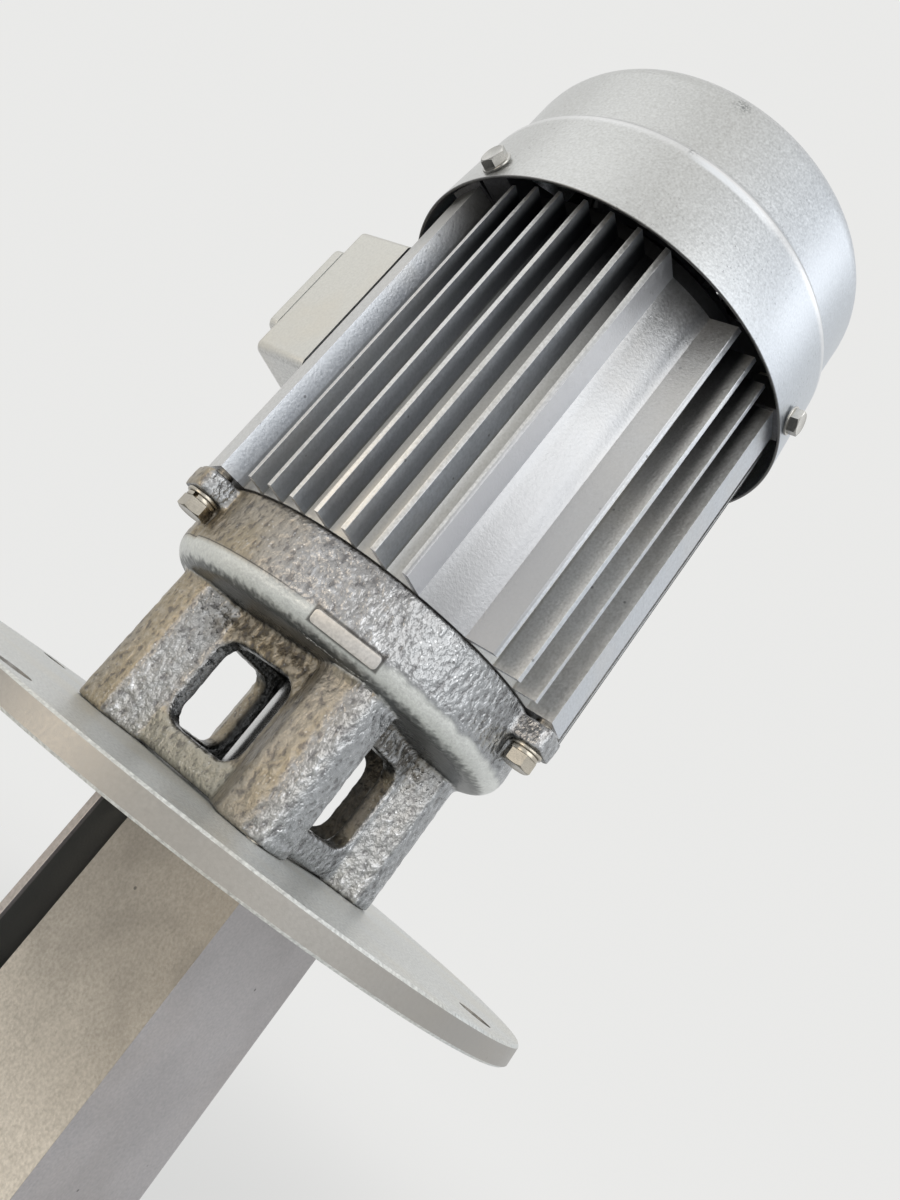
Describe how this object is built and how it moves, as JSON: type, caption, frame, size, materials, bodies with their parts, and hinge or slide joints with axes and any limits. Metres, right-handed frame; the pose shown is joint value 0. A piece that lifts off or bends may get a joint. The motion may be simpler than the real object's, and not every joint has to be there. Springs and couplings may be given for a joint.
{
  "type": "coolant pump",
  "caption": "Vertical immersion coolant pump with a finned motor and fan cowl on a cast pillared lantern, a round mounting flange, an open welded column and a volute casing at its foot.",
  "frame": {"origin": "centre of the mounting flange's underside, on the shaft's axis", "axes": "+Z along the shaft towards the fan, +X to the column's open front, terminal box on the -Y side"},
  "size_m": [0.2, 0.2, 0.4967],
  "materials": {
    "cowl_paint": "satin silver paint on sheet",
    "frame_paint": "satin silver paint on extruded aluminium",
    "lantern_paint": "silver paint on a rough casting",
    "flange_paint": "silver-grey paint",
    "column_paint": "silver-grey paint on bent sheet",
    "box_paint": "warm light grey paint on a casting",
    "zinc_steel": "bright zinc",
    "shaft_steel": "ground steel",
    "laminations": "laminated steel",
    "copper": "varnished copper wire",
    "rotor_cast": "die-cast aluminium",
    "bearing_steel": "polished bearing steel",
    "seal_rubber": "black rubber",
    "fan_plastic": "black moulded plastic",
    "bronze": "turned bronze",
    "shield_cast": "cast aluminium",
    "casing_paint": "silver-grey paint on a casting",
    "block_plastic": "brown moulded plastic",
    "gland_plastic": "black moulded plastic"
  },
  "bodies": {
    "pump": {"mounting_flange": "flange_paint", "lantern_bracket": "lantern_paint", "motor_frame": "frame_paint", "stator_core": "laminations", "stator_windings": "copper", "fan_end_shield": "shield_cast", "fan_cowl": "cowl_paint", "cowl_screws": "zinc_steel", "cowl_washers": "zinc_steel", "lug_bolts": "zinc_steel", "lug_washers": "zinc_steel", "lug_spring_washers": "zinc_steel", "end_shield_bolts": "zinc_steel", "lantern_screws": "zinc_steel", "lower_bearing_outer_ring": "bearing_steel", "upper_bearing_outer_ring": "bearing_steel", "wave_washer": "bearing_steel", "shaft_seal": "seal_rubber", "column_channel": "column_paint", "column_front_plate": "column_paint", "column_foot_plate": "column_paint", "throat_bushing": "bronze", "pump_casing": "casing_paint", "casing_bolts": "zinc_steel", "suction_cover": "casing_paint", "suction_cover_screws": "zinc_steel", "outlet_socket": "casing_paint", "terminal_box_base": "box_paint", "terminal_box_gasket": "seal_rubber", "terminal_box_lid": "box_paint", "terminal_lid_screws": "zinc_steel", "terminal_base_screws": "zinc_steel", "terminal_block": "block_plastic", "terminal_studs": "bronze", "cable_gland_body": "gland_plastic", "cable_gland_sleeve": "seal_rubber", "cable_gland_nut": "gland_plastic"},
    "rotor": {"shaft": "shaft_steel", "rotor_core": "laminations", "rotor_end_rings": "rotor_cast", "lower_bearing_inner_ring": "bearing_steel", "lower_bearing_balls": "bearing_steel", "upper_bearing_inner_ring": "bearing_steel", "upper_bearing_balls": "bearing_steel", "cooling_fan": "fan_plastic", "fan_circlip": "bearing_steel", "impeller": "bronze", "impeller_key": "shaft_steel", "impeller_washer": "zinc_steel", "impeller_nut": "zinc_steel"}
  },
  "joints": [
    {"name": "rotor_spin", "type": "hinge", "parent": "pump", "child": "rotor", "pos_m": [0, 0, 0], "axis": [0, 0, 1], "continuous": true}
  ]
}
